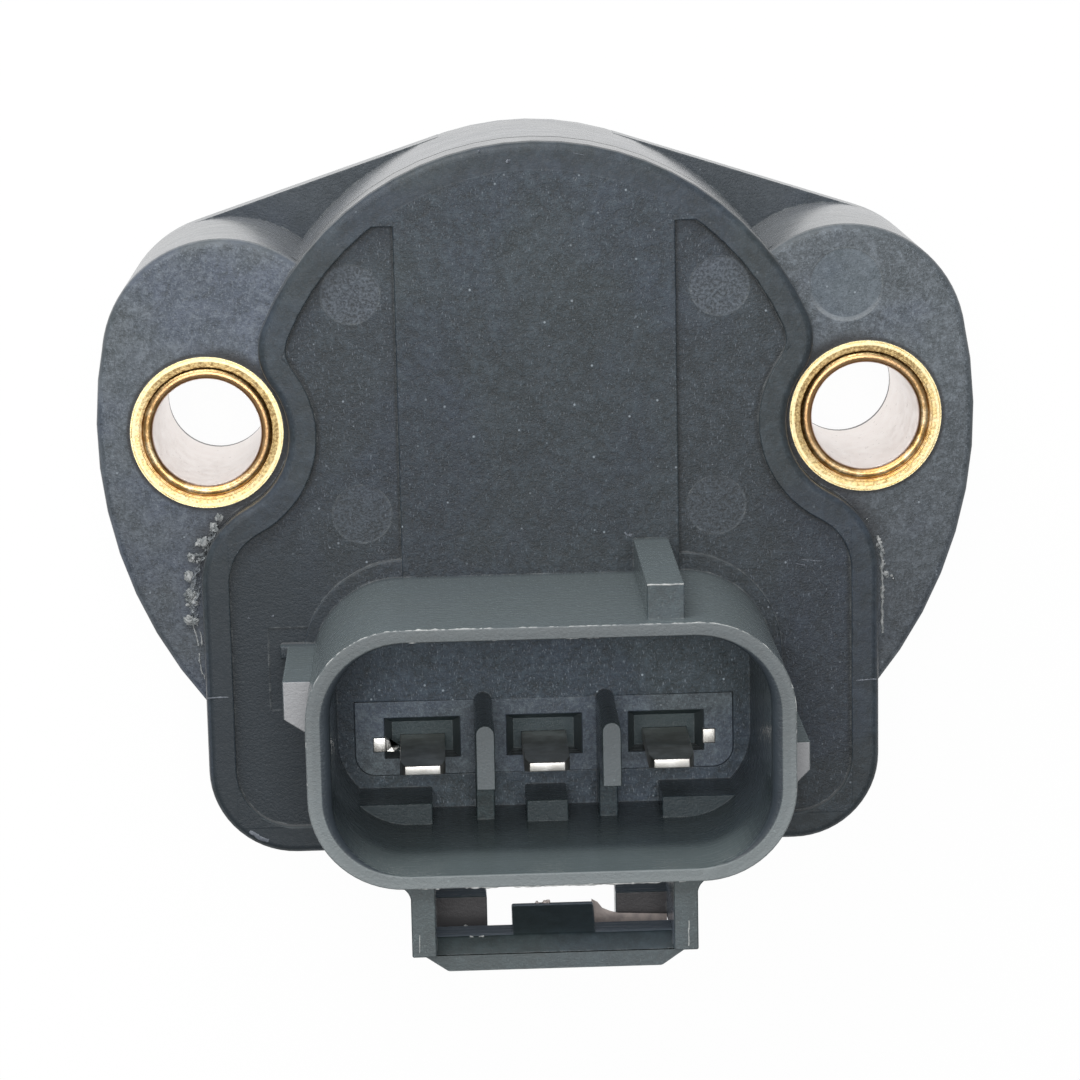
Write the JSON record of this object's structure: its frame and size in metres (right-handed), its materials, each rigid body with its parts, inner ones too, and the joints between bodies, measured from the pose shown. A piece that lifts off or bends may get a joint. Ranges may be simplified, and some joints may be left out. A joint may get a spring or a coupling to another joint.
{
  "type": "throttle position sensor",
  "caption": "Rotary throttle position sensor with a welded cover, screw ears with brass sleeves, a sprung rotor and a moulded blade connector.",
  "frame": {"origin": "on the rotor axis, midway between the screw sleeves, on the rear mounting face", "axes": "+Z along the rotor axis towards the connector mouth, +X from screw ear to screw ear, +Y away from the connector"},
  "size_m": [0.0506, 0.0447, 0.0288],
  "materials": {
    "housing_plastic": "glass-filled slate grey, matte, slightly mottled",
    "cover_plastic": "glass-filled slate grey, matte, slightly mottled",
    "block_plastic": "glass-filled slate grey, matte",
    "sleeve_brass": "turned brass, bright on the lips",
    "tinned_terminal": "tin-plated, satin",
    "contact_bronze": "spring bronze, satin",
    "board_laminate": "pale laminate",
    "carbon_ink": "matte carbon film",
    "silver_ink": "matte silver film",
    "rotor_plastic": "natural acetal, satin",
    "spring_steel": "drawn spring wire",
    "seal_rubber": "matte black rubber"
  },
  "bodies": {
    "base": {"housing": "housing_plastic", "front_cover": "cover_plastic", "terminal_block": "block_plastic", "sleeve_left": "sleeve_brass", "sleeve_right": "sleeve_brass", "terminal_left": "tinned_terminal", "terminal_middle": "tinned_terminal", "terminal_right": "tinned_terminal", "contact_clip_left": "contact_bronze", "contact_clip_middle": "contact_bronze", "contact_clip_right": "contact_bronze", "resistor_board": "board_laminate", "resistor_track": "carbon_ink", "conductor_pattern": "silver_ink", "return_spring": "spring_steel", "wave_washer": "spring_steel", "shaft_seal": "seal_rubber", "mounting_seal": "seal_rubber"},
    "rotor": {"rotor": "rotor_plastic", "wiper": "contact_bronze", "drive_clip": "spring_steel"}
  },
  "joints": [
    {"name": "rotor_turn", "type": "hinge", "parent": "base", "child": "rotor", "pos_m": [0, 0, 0.005], "axis": [0, 0, 1], "range_deg": [0, 100], "stiffness_Nm_per_rad": 0.004, "springref_deg": -85.94, "deforming": ["return_spring"]}
  ]
}
